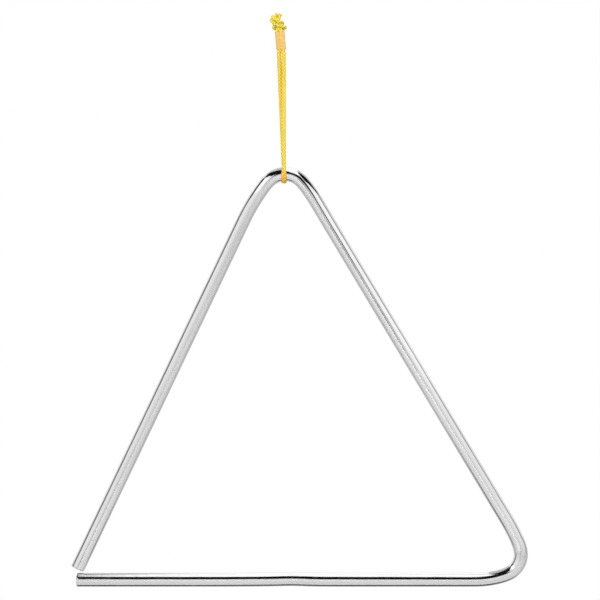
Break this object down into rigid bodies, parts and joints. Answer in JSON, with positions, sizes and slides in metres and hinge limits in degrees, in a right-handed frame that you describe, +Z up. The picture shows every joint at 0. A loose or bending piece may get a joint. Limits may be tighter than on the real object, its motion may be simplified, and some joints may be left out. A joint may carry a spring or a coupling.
{
  "type": "triangle instrument",
  "caption": "Triangle percussion instrument: a round chromed steel bar bent into a triangle with one open corner, hung from a knotted loop of braided cord.",
  "frame": {"origin": "middle of the sleeve's lower mouth, where both strands leave it, the cord swings and the instrument hangs", "axes": "+X along the triangle's base towards the closed lower corner, +Y from the front to the back, +Z up"},
  "size_m": [0.2611, 0.0134, 0.3281],
  "materials": {
    "chromed_steel": "bright chrome plating on drawn round steel, with fine lengthwise drawing lines",
    "yellow_cord": "braided synthetic cord, yellow, slightly shiny",
    "clear_tube": "thin clear sleeve with an amber tint, smooth"
  },
  "bodies": {
    "held_end": {"overhand_knot": "yellow_cord", "sleeve_strands": "yellow_cord", "clear_sleeve": "clear_tube"},
    "cord_neck": {"right_neck_strand": "yellow_cord", "left_neck_strand": "yellow_cord"},
    "cord_loop": {"front_strand": "yellow_cord", "back_strand": "yellow_cord", "bar_loop": "yellow_cord"},
    "bar": {"triangle_bar": "chromed_steel"}
  },
  "joints": [
    {"name": "cord_sway", "type": "hinge", "parent": "held_end", "child": "cord_neck", "pos_m": [0, 0, 0], "axis": [0, 1, 0], "range_deg": [-40, 40]},
    {"name": "cord_twist", "type": "hinge", "parent": "cord_neck", "child": "cord_loop", "pos_m": [0.00018, 0, -0.00815], "axis": [-0.0227, 0, 0.9997], "range_deg": [-180, 180]},
    {"name": "bar_rock", "type": "hinge", "parent": "cord_loop", "child": "bar", "pos_m": [0.0016, 0, -0.0705], "axis": [1, 0, 0], "range_deg": [-90, 90]}
  ]
}
